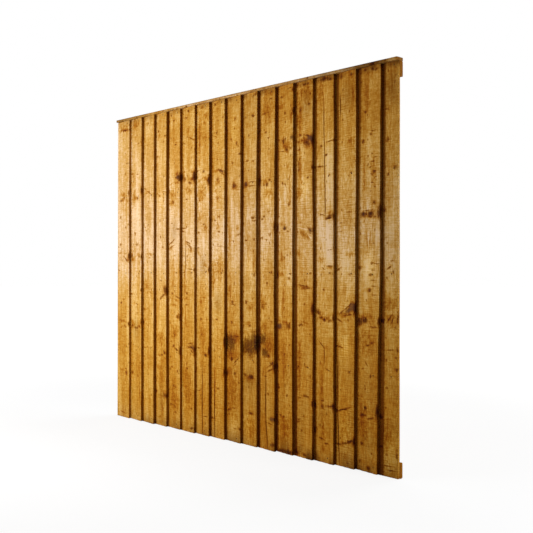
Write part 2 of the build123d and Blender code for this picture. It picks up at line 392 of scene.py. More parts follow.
            (80, 787, 10, 5, 65), (94, 770, 14, 2.4, 35), (94, 808, 14, 2.4, 35), (96, 830, 14, 2.4, 35),
            (78, 845, 8, 8, 70), (98, 862, 12, 2.4, 30), (98, 981, 26, 3, 50), (72, 1052, 10, 4, 60, -6),
            (92, 1040, 9, 5, 30), (88, 1165, 6, 7, 60), (66, 1120, 18, 3, 30, 50),
            (46, 1138, 9, 4, 35, -20), (47, 1310, 12, 7, 80, -6), (92, 1319, 20, 4, 55, -16),
            (46, 1420, 9, 7, 60), (80, 1507, 9, 7, 65), (35, 1489, 9, 6, 35),
        ],
        "black": [
            (43, 560, 14, 9, 85), (80, 561, 13, 10, 90), (28, 963, 16, 13, 100), (58, 958, 13, 12, 100),
            (60, 1285, 7, 8, 85), (124, 1290, 9, 22, 85), (125, 555, 10, 24, 90), (125, 957, 8, 12, 80),
        ],
        "grey": [(80, 1425, 9, 9, 50)],
        "light": [(65, 540, 6, 55, 60), (108, 640, 14, 70, 55), (70, 660, 4, 60, 40)],
        "tint": [(75, 750, 55, 100, -55)],
    },
    17: {
        "warm": [
            (76, 905, 12, 12, 50), (60, 950, 40, 30, 70), (62, 890, 40, 40, 55), (50, 1380, 30, 90, 25),
        ],
        "dark": [
            (80, 35, 6, 6, 35), (38, 180, 9, 5, 50), (47, 292, 11, 9, 55, -30), (80, 396, 9, 10, 65, 30),
            (47, 420, 6, 6, 50), (30, 552, 8, 9, 50), (72, 775, 7, 7, 70), (56, 760, 14, 3, 50, -30),
            (68, 735, 9, 6, 25), (56, 945, 26, 3, 40, -50), (70, 950, 22, 3, 40, -60),
            (60, 1062, 18, 3, 40), (92, 1060, 5, 10, 60), (88, 1130, 9, 6, 55), (88, 1440, 6, 18, 40),
            (22, 1418, 9, 5, 40), (50, 1484, 30, 3, 35, -4), (66, 1498, 24, 3, 30), (93, 940, 5, 30, 40),
        ],
        "black": [(24, 956, 9, 10, 70), (22, 1309, 7, 9, 85)],
        "light": [(60, 620, 36, 80, 40)],
        "tint": [(65, 110, 50, 100, 45), (65, 590, 50, 90, -25), (65, 1430, 50, 120, -50)],
    },
}

# Where a board's face is split: (board, width mm, depth mm, points along it as
# mm from the thin edge and mm from the top)
SPLITS = (
    (6, 2.0, 1.0, ((48, 662), (49, 772))),
    (7, 2.6, 1.6, ((67, 1235), (70, 1290), (73, 1400), (76, 1520))),
    (8, 2.6, 1.2, ((50, 1330), (51, 1440), (53, 1512))),
    (11, 2.4, 2.0, ((67, 1218), (66, 1330), (70, 1400), (79, 1508))),
    (14, 2.2, 1.8, ((65, 126), (70, 260), (75, 400), (78, 562))),
    (15, 2.4, 1.8, ((32, 1108), (34, 1290), (38, 1400), (42, 1505))),
)

# How far each board's thick edge wanders from its straight line, in mm, at
# distances down from the top of the panel
WANDER = {
    1: ((0, 0), (420, -3), (800, -2), (1290, 1), (1524, 0)),
    3: ((0, 0), (400, -2), (1524, -1)),
    4: ((0, 0), (330, -3), (930, -1), (1524, 3)),
    5: ((0, 0), (700, -3), (1100, 0), (1524, 4)),
    9: ((0, 1), (500, -1), (950, -3), (1200, 1), (1524, 2)),
    10: ((0, 3), (400, -4), (930, -5), (1150, 1), (1524, 0)),
    11: ((0, 3), (500, -3), (900, -4), (1250, 0), (1524, 1)),
    12: ((0, 0), (400, -1), (700, -4), (1200, -4), (1524, -3)),
    13: ((0, -2), (330, -4), (800, 0), (1524, -3)),
    15: ((0, 0), (450, 2), (800, 1), (1100, -1), (1300, -1), (1524, 0)),
    16: ((0, 0), (450, 3), (800, 5), (1100, 0), (1300, -1), (1524, 0)),
}

# How dirty the foot of a board is, where it differs from the others
FOOT_DIRT = {1: 0.1, 2: 0.15, 4: 0.8, 8: 0.4, 12: 1.9, 13: 1.6, 14: 1.3, 16: 1.5, 17: 0.1}

# Each board's own tone: stain, dark and strength of the saw marks
TONES = (
    (0.00, 0.00, 0.35), (0.00, 0.00, 0.30), (0.05, 0.00, 0.30), (0.05, 0.00, 0.25),
    (0.10, 0.00, 0.40), (0.05, 0.00, 0.50), (0.05, 0.00, 0.50), (0.00, 0.00, 0.70),
    (0.10, 0.10, 0.40), (0.05, 0.15, 0.40), (0.05, 0.05, 0.50), (0.00, 0.00, 0.50),
    (0.08, 0.00, 0.75), (0.00, 0.00, 0.50), (0.00, 0.00, 0.95), (0.05, 0.05, 0.75),
    (0.00, 0.12, 0.45),
)

# The kinds of mark that are knots, which push the grain aside
KNOTS = ("dark", "black", "purple")


def board_marks(number):
    """Each of a board's marks: its kind, place, half-sizes, turn and strength."""
    for kind, marks in MARKS[number].items():
        for at, down, half_a, half_b, percent, *turn in marks:
            yield kind, at, down, half_a, half_b, turn[0] if turn else 0, percent / 100


def srgb(r, g, b):
    """A colour as it looks on screen, 0 to 255, as linear values."""
    out = []
    for value in (r, g, b):
        v = value / 255.0
        out.append(v / 12.92 if v <= 0.04045 else ((v + 0.055) / 1.055) ** 2.4)
    return (*out, 1.0)


def rise(values, start, end):
    """0 up to the start, 1 from the end on and a straight slope between."""
    return np.clip((values - start) / (end - start), 0.0, 1.0)


def wave(values, seed, lengths, sizes):
    """A smooth wandering line: a few sine waves with phases from a seed."""
    rng = np.random.default_rng(seed)
    out = np.zeros_like(values, dtype=float)
    for length, size in zip(lengths, sizes):
        phase = rng.uniform(0.0, TURN)
        stretch = rng.uniform(0.85, 1.15)
        out += size * np.sin(TURN * values / (length * stretch) + phase)
    return out


def wobble(a, b, seed, lengths, sizes):
    """Smooth relief over two coordinates, as crossing waves."""
    rng = np.random.default_rng(seed)
    out = np.zeros(np.broadcast(a, b).shape)
    for length, size in zip(lengths, sizes):
        for _ in range(3):
            turn = rng.uniform(0.0, TURN)
            phase = rng.uniform(0.0, TURN)
            run = a * math.cos(turn) + b * math.sin(turn)
            out = out + size / 3.0 * np.sin(TURN * run / length + phase)
    return out


def smooth_mesh(name, verts, faces, sharp_angle):
    """A mesh that is shaded smooth, apart from its sharp edges."""
    mesh = bpy.data.meshes.new(name)
    mesh.from_pydata(verts, [], faces)
    mesh.validate()
    mesh.polygons.foreach_set("use_smooth", [True] * len(mesh.polygons))
    mesh.set_sharp_from_angle(angle=math.radians(sharp_angle))
    return mesh


def tube_mesh(name, x, y, z, front_count, edge_count):
    """A closed bar from rings of points in mm. A ring runs over the front, the
    right edge, the back and the left edge. Strips close the two ends."""
    rows, columns = x.shape
    verts = np.stack([x, y, z], -1).reshape(-1, 3) * MM
    index = np.arange(rows * columns).reshape(rows, columns)
    beside = np.roll(index, -1, axis=1)
    quads = np.stack([index[:-1], beside[:-1], beside[1:], index[1:]], axis=-1)
    faces = [tuple(quad) for quad in quads.reshape(-1, 4).tolist()]
    back_start = front_count + edge_count
    for row, flip in ((0, True), (rows - 1, False)):
        ring = index[row].tolist()
        front = ring[:front_count]
        back = ring[back_start:back_start + front_count][::-1]
        end_faces = [(front[j], front[j + 1], back[j + 1], back[j]) for j in range(front_count - 1)]
        end_faces.append((front[-1], *ring[front_count:back_start], back[-1]))
        end_faces.append((front[0], back[0], *ring[back_start + front_count:]))
        faces += [face[::-1] if flip else face for face in end_faces]
    return smooth_mesh(name, verts.tolist(), faces, 28.0)


def add_attribute(mesh, name, *parts):
    """A number, or a vector of three, at every point of a mesh."""
    kind, key = ("FLOAT_VECTOR", "vector") if len(parts) == 3 else ("FLOAT", "value")
    layer = mesh.attributes.new(name, kind, "POINT")
    layer.data.foreach_set(key, np.stack(parts, -1).astype(np.float32).ravel())


def place(mesh, name, material, slot, *nodes):
    """Puts a piece in the scene, on the part's one body."""
    piece = bpy.data.objects.new(name, mesh)
    bpy.context.scene.collection.objects.link(piece)
    mesh.materials.append(material)
    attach(piece, "root")
    if nodes:
        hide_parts(*nodes)
    return piece


# Materials


class Tree:
    """Short ways to add shader nodes to a new material or world."""

    def __init__(self, owner):
        owner.use_nodes = True
        self.owner = owner
        self.nodes = owner.node_tree.nodes
        self.links = owner.node_tree.links

    def put(self, socket, value):
        if isinstance(value, bpy.types.NodeSocket):
            self.links.new(value, socket)
        elif value is not None:
            socket.default_value = value

    def node(self, kind, inputs, **settings):
        """A node with its settings, and its inputs by name or by place."""
        node = self.nodes.new("ShaderNode" + kind)
        for key, value in settings.items():
            setattr(node, key, value)
        for key, value in inputs.items():
            self.put(node.inputs[key], value)
        return node

    def surface(self, inputs):
        """Sets the inputs of a material's own shader."""
        for key, value in inputs.items():
            self.put(self.nodes["Principled BSDF"].inputs[key], value)

    def math(self, operation, a, b=None):
        return self.node("Math", {0: a, 1: b}, operation=operation).outputs[0]

    def times(self, a, b):
        return self.math("MULTIPLY", a, b)

    def total(self, *values):
        out = values[0]
        for value in values[1:]:
            out = self.math("ADD", out, value)
        return out

    def centred(self, value, size):
        """A noise of middle 0.5 as a swing about nought."""
        return self.times(self.math("SUBTRACT", value, 0.5), size)

    def vector(self, operation, a, b=None):
        node = self.node("VectorMath", {0: a, 1: b}, operation=operation)
        return node.outputs["Value" if operation == "LENGTH" else "Vector"]

    def attribute(self, name, output="Vector"):
        return self.node("Attribute", {}, attribute_name=name).outputs[output]

    def noise(self, place, stretch, detail=2.0, rough=0.5, output="Fac"):
        """A noise with so many waves to the metre along each direction."""
        vector = self.vector("MULTIPLY", place, stretch)
        inputs = {"Vector": vector, "Scale": 1.0, "Detail": detail, "Roughness": rough}
        return self.node("TexNoise", inputs).outputs[output]

    def remap(self, value, low, high, to_low=0.0, to_high=1.0, smooth=True):
        kind = "SMOOTHSTEP" if smooth else "LINEAR"
        inputs = {"Value": value, "From Min": low, "From Max": high, "To Min": to_low, "To Max": to_high}
        return self.node("MapRange", inputs, interpolation_type=kind).outputs["Result"]

    def mix(self, factor, a, b, blend="MIX"):
        settings = {"data_type": "RGBA", "blend_type": blend, "clamp_factor": True}
        return self.node("Mix", {0: factor, 6: a, 7: b}, **settings).outputs[2]

    def combine(self, x, y, z):
        return self.node("CombineXYZ", {0: x, 1: y, 2: z}).outputs["Vector"]

    def separate(self, vector):
        return self.node("SeparateXYZ", {0: vector}).outputs

    def ellipse(self, vector, across, along, half_across, half_along, turn):
        """Place in an ellipse, as a vector that is 1 long on its outline."""
        inputs = {
            "Location": (across * MM, along * MM, 0.0),
            "Rotation": (0.0, 0.0, math.radians(turn)),
            "Scale": (half_across * MM, half_along * MM, 1.0),
            "Vector": vector,
        }
        return self.node("Mapping", inputs, vector_type="TEXTURE").outputs["Vector"]

    def show(self, rays, seen, unseen, output):
        """Shows one shader to the named rays, and the other to the rest."""
        path = self.node("LightPath", {}).outputs
        share = path[rays[0]]
        for ray in rays[1:]:
            share = self.math("MAXIMUM", share, path[ray])
        choice = self.node("MixShader", {0: share, 1: unseen.outputs[0], 2: seen.outputs[0]})
        self.put(self.nodes[output].inputs["Surface"], choice.outputs[0])


# Bare wood, and what burrs and purple knots are mixed with
BARE = srgb(209, 164, 95)
MOSS = srgb(88, 62, 10)
ASH = srgb(108, 78, 50)

# What the stain, the dark of knots and a golden tint take from red, green, blue
TAKES = {"stain": (0.45, 0.82, 1.80), "dark": (0.81, 0.99, 1.35), "gold": (0.03, 0.26, 1.60)}

# No place on the timber has less stain or less gold than this, and no cloud of
# stain is paler
LEAST_STAIN, LEAST_GOLD, LEAST_CLOUD = -0.34, -0.22, -0.42

# What each kind of mark adds to its board: (kind, what it adds, where it fades
# out, where it is full, how much), with places as shares of the mark's size
LAYERS = (
    ("dark", "stain", 1.95, 0.6, 0.95), ("dark", "dark", 1.40, 0.1, 1.10),
    ("black", "stain", 2.00, 0.6, 1.00), ("black", "dark", 1.50, 0.1, 1.80),
    ("purple", "stain", 1.70, 0.6, 0.60), ("purple", "dark", 1.30, 0.1, 0.90),
    ("crack", "stain", 2.20, 0.6, 0.80), ("crack", "dark", 1.60, 0.5, 0.95),
    ("light", "stain", 1.30, 0.3, -0.60), ("light", "gold", 1.30, 0.3, -0.22),
    ("panel", "stain", 1.25, 1.12, -0.40), ("panel", "gold", 1.25, 1.12, -0.15),
    ("grey", "dark", 1.30, 0.2, 0.50),
)

# Marks thinner than this, in mm, keep their line
THIN = 4.5

# The saw left a mark at every step of its feed (m)
SAW_PITCH = 0.0088

# Weathered wood and old nails hardly shine
DULL = 0.03

# How golden the cap is, at distances along it
CAP_SOAK = ((0.0, 200.0, 800.0, 1300.0, 1700.0), (0.30, 0.30, -0.40, -0.46, 0.02))

# The strip of each board beside the lap, darkened partly by stain and partly
# as a painted shadow of the neighbouring board's thick edge: middle of its
# edge and half the edge's softness (mm from the thin edge), how deeply it is
# darkened, and the share of that depth that is left close to the next board
LAPS = {
    2: (18.7, 5.0, 1.30, 1.0), 3: (23.5, 5.5, 1.08, 1.0), 4: (29.7, 7.0, 1.15, 1.0),
    5: (27.5, 6.5, 1.00, 0.8), 6: (20.0, 6.5, 0.86, 0.9), 7: (23.0, 5.5, 1.25, 1.0),
    8: (27.2, 5.0, 0.87, 0.5), 9: (26.0, 6.0, 1.00, 0.8), 10: (29.5, 6.0, 1.00, 0.2),
    11: (28.5, 5.5, 1.00, 0.1), 12: (32.0, 6.5, 1.00, 0.1), 13: (26.5, 6.0, 0.84, 0.3),
    14: (25.0, 5.5, 0.74, 0.0), 15: (28.8, 4.5, 0.62, 0.0), 16: (24.0, 5.5, 0.55, 0.6),
    17: (33.5, 4.5, 0.66, 0.0),
}


def mark_fields(tree, marks, spot, steady, ragged):
    """How far a place lies from the marks of each kind: nought in the middle
    of a mark and 1 on its outline. Tints come with their strengths."""
    fields, tints = {}, []
    for kind, at, down, half_a, half_b, turn, strength in marks:
        thin = kind != "tint" and min(half_a, half_b) < THIN
        base = steady if thin or kind == "crack" else spot
        local = tree.ellipse(base, at, down, half_a, half_b, turn)
        if kind == "tint":
            tints.append((tree.vector("LENGTH", local), strength))
            continue
        if kind == "panel":
            sides = tree.separate(tree.vector("ABSOLUTE", local))
            away = tree.math("MAXIMUM", sides[0], sides[1])
        else:
            away = tree.vector("LENGTH", local)
        away = tree.total(away, (1.0 - strength) * 0.7)
        fields[kind] = tree.math("MINIMUM", fields[kind], away) if kind in fields else away
    for kind in fields:
        if kind != "crack":
            fields[kind] = tree.total(fields[kind], ragged)
    return fields, tints


def specks(tree, spot, shift):
    """Pin knots and specks of bark, scattered: 1 in a speck."""
    cell_place = tree.vector("ADD", tree.vector("MULTIPLY", spot, (27.0, 20.0, 0.0)),
                             (shift[0] * 7.0, shift[1] * 7.0, 0.0))
    cells = tree.node("TexVoronoi", {"Scale": 1.0, "Vector": cell_place}, voronoi_dimensions="2D")
    chance = tree.separate(cells.outputs["Color"])[0]
    size = tree.remap(chance, 0.5, 1.0, 0.0, 0.10, smooth=False)
    near = tree.math("SUBTRACT", cells.outputs["Distance"], size)
    return tree.times(tree.remap(near, 0.06, -0.03), tree.remap(chance, 0.70, 0.85))


def timber_material(name, marks, tone, seed, lap=None):
    """Rough-sawn stained softwood. Its coordinates come with each mesh: face
    holds (across, along, depth) in metres, flow how far knots push the grain
    aside, ring the growth rings' phase, stain_dirt_shade_sheen (edge stain and
    painted shade, dirt and painted shade, extra stain less a painted sheen),
    and gold_and_sheen how golden the stain is there, less where a sheen is painted."""
    tree = Tree(bpy.data.materials.new(name))
    times, total, centred, remap = tree.times, tree.total, tree.centred, tree.remap
    stain_level, dark_level, saw = tone
    face = tree.attribute("face")
    flow = tree.attribute("flow", "Fac")
    # Edge stain and painted shade, dirt and painted shade, and extra stain less a painted sheen
    edge_stain_and_shade, dirt_and_shade, extra_stain_and_sheen = tree.separate(tree.attribute("stain_dirt_shade_sheen"))
    across, along, depth = tree.separate(face)
    shift = np.random.default_rng(seed).uniform(-3.0, 3.0, 3).tolist()
    grain = tree.combine(
        total(across, flow, shift[0]), total(along, shift[1]), total(depth, shift[2]))

    def stretched(over, along_grain, detail=2.0, rough=0.5):
        """A noise by its waves to the metre over the grain and along it."""
        return tree.noise(grain, (over, along_grain, over), detail, rough)

    broad = stretched(34.0, 1.1, 3.0)
    middle = stretched(130.0, 3.6, 3.0)
    fine = stretched(430.0, 16.0)
    patch = stretched(11.0, 5.5, 3.0)
    mottle = stretched(85.0, 62.0, 4.0, 0.68)
    fleck = stretched(330.0, 75.0, 1.0)
    arcs = stretched(62.0, 150.0, 3.0, 0.6)
    strokes = tree.noise(face, (22.0, 300.0, 22.0), 2.0, 0.6)
    drift = tree.noise(face, (12.0, 24.0, 12.0))

    # Growth rings, cut by the face into long arches
    phase = total(tree.attribute("ring", "Fac"), times(middle, 2.4))
    late = remap(tree.math("SINE", phase), 0.1, 0.95)

    # Bandsaw marks run across the board, in some places more than in others
    lines = total(times(along, TURN / SAW_PITCH), times(drift, 10.0),
                  times(across, 10.0 + 8.0 * shift[2]))
    sawn = times(remap(total(tree.math("SINE", lines), centred(strokes, -3.5)), 0.0, 1.4),
                 remap(stretched(24.0, 8.0), 0.38, 0.62, 0.15 * saw, saw))

    # Marks aren't smooth ovals: their outline is ragged. Thin strokes keep
    # their line and only bend gently.
    flat = tree.vector("MULTIPLY", face, (1.0, 1.0, 0.0))
    jitter = tree.noise(face, (110.0, 80.0, 110.0), 2.0, 0.6, "Color")
    jitter = tree.vector("SUBTRACT", jitter, (0.5, 0.5, 0.5))
    spot = tree.vector("ADD", flat, tree.vector("MULTIPLY", jitter, (0.011, 0.011, 0.0)))
    steady = tree.vector("ADD", flat, tree.combine(centred(drift, 0.006), centred(drift, 0.008), 0.0))
    ragged = total(centred(mottle, 1.5), centred(fine, 1.3))
    fields, tints = mark_fields(tree, marks, spot, steady, ragged)

    cloud = total(0.02, centred(broad, -1.2), centred(middle, -0.85), centred(fine, -0.85),
                  centred(patch, -1.45), centred(mottle, -1.5), centred(strokes, -1.1))
    cloud = tree.math("MAXIMUM", LEAST_CLOUD, cloud)
    stain = [
        stain_level, extra_stain_and_sheen, times(cloud, 0.84), times(remap(fleck, 0.56, 0.74), 0.40),
        times(late, 0.24), times(sawn, 0.42), times(edge_stain_and_shade, 1.1),
    ]
    dark = [
        dark_level, times(cloud, 0.15), times(remap(mottle, 0.60, 0.80), 0.35),
        times(edge_stain_and_shade, 0.30), times(dirt_and_shade, remap(patch, 0.35, 0.6)),
    ]
    gold = [tree.attribute("gold_and_sheen", "Fac"), times(cloud, 0.45)]
    added = {"stain": stain, "dark": dark, "gold": gold}

    for kind, what, fades, full, amount in LAYERS:
        if kind in fields:
            added[what].append(remap(fields[kind], fades, full, 0.0, amount))
    for away, strength in tints:
        dark.append(remap(away, 1.0, 0.0, 0.0, max(strength, 0.4 * strength)))
        if strength < 0.0:
            stain.append(remap(away, 1.0, 0.0, 0.0, 0.9 * strength))
    if "warm" in fields:
        warm = remap(fields["warm"], 1.55, -0.1)
        uneven = total(1.22, centred(mottle, -1.6), centred(arcs, -2.3))
        stain.append(times(warm, times(uneven, 0.80)))
        dark.append(times(warm, 0.16))
        gold.append(times(warm, 0.55))
    if "burr" in fields:
        burr = remap(fields["burr"], 1.5, 0.5)
        fibres = stretched(95.0, 200.0, 3.0, 0.65)
        stain.append(times(burr, 0.15))
        dark.append(times(burr, total(1.00, centred(fibres, 3.6), centred(mottle, 1.6))))
        gold.append(times(burr, 0.60))
    if "ring" in fields:
        ripple = tree.math("SINE", times(fields["ring"], 11.0))
        stain.append(times(remap(ripple, 0.0, 1.0), remap(fields["ring"], 1.6, 1.2, 0.0, 0.6)))
    speck = specks(tree, spot, shift)
    stain.append(times(speck, 0.7))
    dark.append(times(speck, 0.30))

    # The strip beside a lap is darkened, partly by stain and partly by a painted
    # shadow of the neighbouring board's thick edge
    if lap:
        edge_at, soft, amount, close = lap
        beside = total(across, centred(mottle, 0.008), centred(broad, 0.010))
        lap_stain_and_shadow = times(remap(beside, (edge_at + soft) * MM, (edge_at - soft) * MM),
                        remap(across, 8.0 * MM, 20.0 * MM, close, 1.0))
        stain.append(times(lap_stain_and_shadow, 1.30 * amount))
        dark.append(times(lap_stain_and_shadow, 1.30 * amount))

    amounts = {
        "stain": tree.math("MAXIMUM", total(*stain), LEAST_STAIN),
        "dark": total(*dark),
        "gold": tree.math("MAXIMUM", total(*gold), LEAST_GOLD),
    }
    channels = []
    for channel in range(3):
        lost = total(*(times(amounts[what], -TAKES[what][channel]) for what in amounts))
        channels.append(tree.math("POWER", math.e, lost))
    colour = tree.mix(1.0, BARE, tree.combine(*channels), "MULTIPLY")
    if "purple" in fields:
        colour = tree.mix(remap(fields["purple"], 1.25, 0.4, 0.0, 0.38), colour, ASH)
    if "burr" in fields:
        colour = tree.mix(times(burr, remap(fibres, 0.60, 0.42, 0.05, 0.50)), colour, MOSS)

    # Relief: fibres, rings, saw marks and torn places
    height = total(times(fine, 0.8), times(late, 0.3), times(sawn, -0.9), times(mottle, 1.2))
    bump = tree.node("Bump", {"Strength": 0.7, "Distance": 0.0009, "Height": height})
    tree.surface({
        "Base Color": colour,
        "Normal": bump.outputs["Normal"],
        "Roughness": remap(middle, 0.3, 0.7, 0.52, 0.74, smooth=False),
        "Specular IOR Level": DULL,
    })
    return tree.owner


# Boards


def corners(node):
    """A board's corners in mm: (x, y at the back, y at the front) by level,
    head or foot, and side. Its top is the height of its head."""
    points = np.array([v.co[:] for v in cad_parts[node].data.vertices]) / MM
    out = {"top": points[:, 2].max()}
    for level, z in (("foot", points[:, 2].min()), ("head", points[:, 2].max())):
        ring = points[np.abs(points[:, 2] - z) < 0.5]
        for side, x in (("left", ring[:, 0].min()), ("right", ring[:, 0].max())):
            edge = ring[np.abs(ring[:, 0] - x) < 0.5]
            out[level, side] = (x, edge[:, 1].max(), edge[:, 1].min())
    return out


def knot_flow(number, across, down):
    """How far the grain is pushed aside by the board's knots, in mm."""
    push = np.zeros_like(across)
    for kind, at, level, half_a, half_b, _, strength in board_marks(number):
        size = min(half_a, half_b * 1.5) * strength
        if kind in KNOTS and half_a <= 40 and size >= 3.0:
            side = (across - at) / size
            fall = np.exp(-np.abs(side) / 1.8) * np.exp(-((down - level) / (2.4 * size)) ** 2)
            push -= 0.9 * size * np.tanh(1.6 * side) * fall
    return push


def panel_place(x, z):
    """Share of the way to the right, and how near the pale band at breast
    height a place is. The band is a painted sheen, wider upwards, above all at the left."""
    aside = np.clip(x / WIDTH, 0.0, 1.0)
    middle = 890.0
    spread = np.where(z > middle, 340.0 - 110.0 * aside, 260.0)
    return aside, np.exp(-((z - middle) / spread) ** 2)


def gold_and_painted_sheen(x, z):
    """How golden the stain is at a place on the panel (mm): richest toward the
    feet, and palest at breast height, above all at the left end, where a sheen is painted in."""
    aside, band = panel_place(x, z)
    foot = rise(z, 900.0, 0.0) - 0.8 * rise(z, 110.0, 0.0)
    head = rise(z, 1050.0, 1300.0) * rise(aside, 0.3, 0.0)
    return 0.30 + 0.38 * foot + 0.15 * aside - 0.28 * head - (0.64 - 0.20 * aside) * band


def low_right(x, z):
    """How near a place is to the panel's lower right corner."""
    return rise(z, 650.0, 0.0) * rise(x / WIDTH, 0.25, 0.75)


def stain_and_painted_sheen(x, z):
    """How much more stain a place took: most at the feet and the heads of the
    boards toward the right. It is least in the pale band at breast height and at
    the upper left end, where a sheen is painted in."""
    aside, band = panel_place(x, z)
    head = rise(z, 1250.0, 1510.0) * rise(aside, 0.5, 1.0)
    left = rise(z, 1100.0, 1300.0) * rise(aside, 0.12, 0.0)
    return 0.22 * low_right(x, z) + 0.36 * head - 0.30 * left - (0.28 - 0.15 * aside) * band


def split_path(points, down, seed):
    """Where a split lies, in mm from the thin edge, at each row."""
    places, levels = zip(*points)
    return np.interp(down, levels, places) + wave(down, seed + 5, (35.0, 90.0), (0.4, 0.5))


def face_columns(width, splits):
    """Where the columns of points lie across a face: closer together at its
    two arrises and around the place where a split starts."""
    inner = np.linspace(0.0, 1.0, 23)[1:-1] * width
    columns = np.concatenate([
        [0.0, 0.5, THIN_ARRIS], inner, [width - THICK_ARRIS, width - 0.9, width - 0.25]])
    for gap, _, points in splits:
        middle = points[0][0]
        columns = columns[np.abs(columns - middle) > 3.2]
        extra = middle + gap * np.array([-1.0, -0.45, 0.0, 0.45, 1.0])
        columns = np.sort(np.concatenate([columns, extra]))
    return columns


def edge_wander(number, down, seed):
    """How far a board's thick edge strays to the right, in mm, at each row."""
    if number == BOARD_COUNT:
        return -0.35 + wave(down, seed, (610.0, 260.0), (0.2, 0.1))
    stray = wave(down, seed, (610.0, 260.0, 90.0), (0.5, 0.35, 0.2))
    if number in WANDER:
        levels, offsets = zip(*WANDER[number])
        bend = np.interp(down[:, 0], levels, offsets)
        kernel = np.hanning(41)
        bend = np.convolve(np.pad(bend, 20, mode="edge"), kernel / kernel.sum(), "valid")
        stray = stray + bend[:, None]
    return stray


def build_board(number):
    """A featheredge board in place of its plain solid, with worn arrises,
    splits, ragged ends and the coordinates that its material needs."""
    name = f"board_{number:02d}"
    c = corners(name)
    seed = 100 + number
    rng = np.random.default_rng(seed)
    top = c["top"]
    width = c["head", "right"][0] - c["head", "left"][0]
    splits = [split[1:] for split in SPLITS if split[0] == number]

    # One row of points for each level down the board
    down = np.linspace(HEIGHT - top, HEIGHT, BOARD_ROWS)[:, None]
    share = (down - down[0]) / (down[-1] - down[0])

    def side_line(side):
        """A side's x, back and front at each row."""
        head, foot = (np.array(c[level, side])[:, None, None] for level in ("head", "foot"))
        return head + (foot - head) * share

    left_x, left_back, left_front = side_line("left")
    right_x, right_back, right_front = side_line("right")
    wander = edge_wander(number, down, seed)

    # The face, with its columns drawn along the splits
    columns = face_columns(width, splits)
    front_count = len(columns)
    across = np.repeat(columns[None, :], BOARD_ROWS, 0)
    for gap, _, points in splits:
        middle = points[0][0]
        follow = split_path(points, down, seed) - middle
        across = across + follow * rise(np.abs(columns - middle), gap + SPLIT_REACH, gap)
    relief = wobble(across, down, seed + 2, (520.0, 170.0, 60.0), (0.35, 0.2, 0.08))
    fraction = across / width
    x_front = left_x + fraction * (right_x - left_x) + wander * fraction ** 2
    y_front = left_front + fraction * (right_front - left_front) + 0.25 + relief * 0.5
    for gap, depth, points in splits:
        low, high = points[0][1], points[-1][1]
        opening = rise(down, low, low + SPLIT_TAPER) * rise(down, high, high - SPLIT_TAPER)
        opening = opening * (0.75 + wave(down, seed + 6, (60.0, 23.0), (0.2, 0.12)))
        aside = np.abs(across - split_path(points, down, seed))
        y_front = y_front + depth * opening * rise(aside, gap * 0.8, 0.0)
    for kind, at, level, half_a, half_b, _, strength in board_marks(number):
        if kind in KNOTS and min(half_a, half_b) >= 6:
            bulge = np.exp(-((across - at) / half_a) ** 2 - ((down - level) / half_b) ** 2)
            y_front = y_front - 0.35 * strength * bulge

    # The arris is knocked and worn in places
    worn = 0.9 + 0.5 * np.abs(wave(down, seed + 9, (140.0, 47.0), (0.8, 0.5)))
    y_front = y_front + 0.6 * worn * rise(width - across, THICK_ARRIS, 0.0) ** 2
    y_front = y_front + 0.5 * rise(across, THIN_ARRIS, 0.0) ** 2

    # The thick edge
    edge_steps = np.array([0.06, 0.35, 0.65, 0.94])
    ripple = wobble(edge_steps * THICK_EDGE, down, seed + 3, (90.0, 30.0), (0.2, 0.12))
    x_edge = right_x + wander + ripple
    if number == BOARD_COUNT:
        x_edge = np.minimum(x_edge, right_x)
    y_start = right_front + 0.25 + worn * 0.6
    y_edge = y_start + (right_back - y_start) * edge_steps

    # The back and the thin edge
    back_across = np.repeat(columns[None, ::-1], BOARD_ROWS, 0)
    fraction = back_across / width
    x_back = left_x + fraction * (right_x - left_x) + wander * fraction ** 2
    rough = np.abs(wobble(back_across, down, seed + 4, (240.0, 80.0), (0.5, 0.3)))
    y_back = left_back + fraction * (right_back - left_back) - 0.05 - 0.1 * rough
    side_steps = np.array([0.75, 0.25])
    x_side = left_x + np.full(2, 0.12)
    y_side = left_front + (left_back - left_front) * side_steps
    x = np.concatenate([x_front, x_edge, x_back, x_side], 1)
    y = np.concatenate([y_front, y_edge, y_back, y_side], 1)

    # The foot is cut a little out of square and ragged
    slope = rng.uniform(-0.012, 0.012)
    lift = rng.uniform(0.2, 2.2)
    place_across = np.concatenate([across[0], np.full(4, width), back_across[0], np.zeros(2)])
    foot = lift + slope * (place_across - width / 2.0) + 0.35 * np.sin(place_across * 0.9 + seed)
    z = HEIGHT - down + np.maximum(foot, 0.0) * rise(share, 0.9, 1.0)
    z = np.clip(z, 0.0, top - 0.02)
    mesh = tube_mesh(name + "_sawn", x, y, z, front_count, 4)

    # Coordinates for the material
    u = np.concatenate(
        [across, width + (y_edge - right_front), back_across, -1.0 - (y_side - left_front)], 1)
    v = np.repeat(down, u.shape[1], 1)
    add_attribute(mesh, "face", u * MM, v * MM, y * MM)
    flow = knot_flow(number, u, v) + wave(v, seed + 11, (900.0, 380.0, 170.0), (5.0, 2.0, 0.8))
    add_attribute(mesh, "flow", flow * MM)

    # Rings: distance to a pith that wanders behind the face
    pith_x = width * rng.uniform(0.25, 0.75) + wave(v, seed + 21, (1900.0, 700.0), (22.0, 7.0))
    pith_y = 42.0 + wave(v, seed + 22, (2300.0, 800.0), (26.0, 6.0)) + (y - left_back)
    radius = np.hypot(u + flow - pith_x, np.abs(pith_y) + 4.0)
    add_attribute(mesh, "ring", radius * TURN / BOARD_RING)
    # How golden the stain is, paler where a sheen is painted in
    add_attribute(mesh, "gold_and_sheen", gold_and_painted_sheen(x, z))

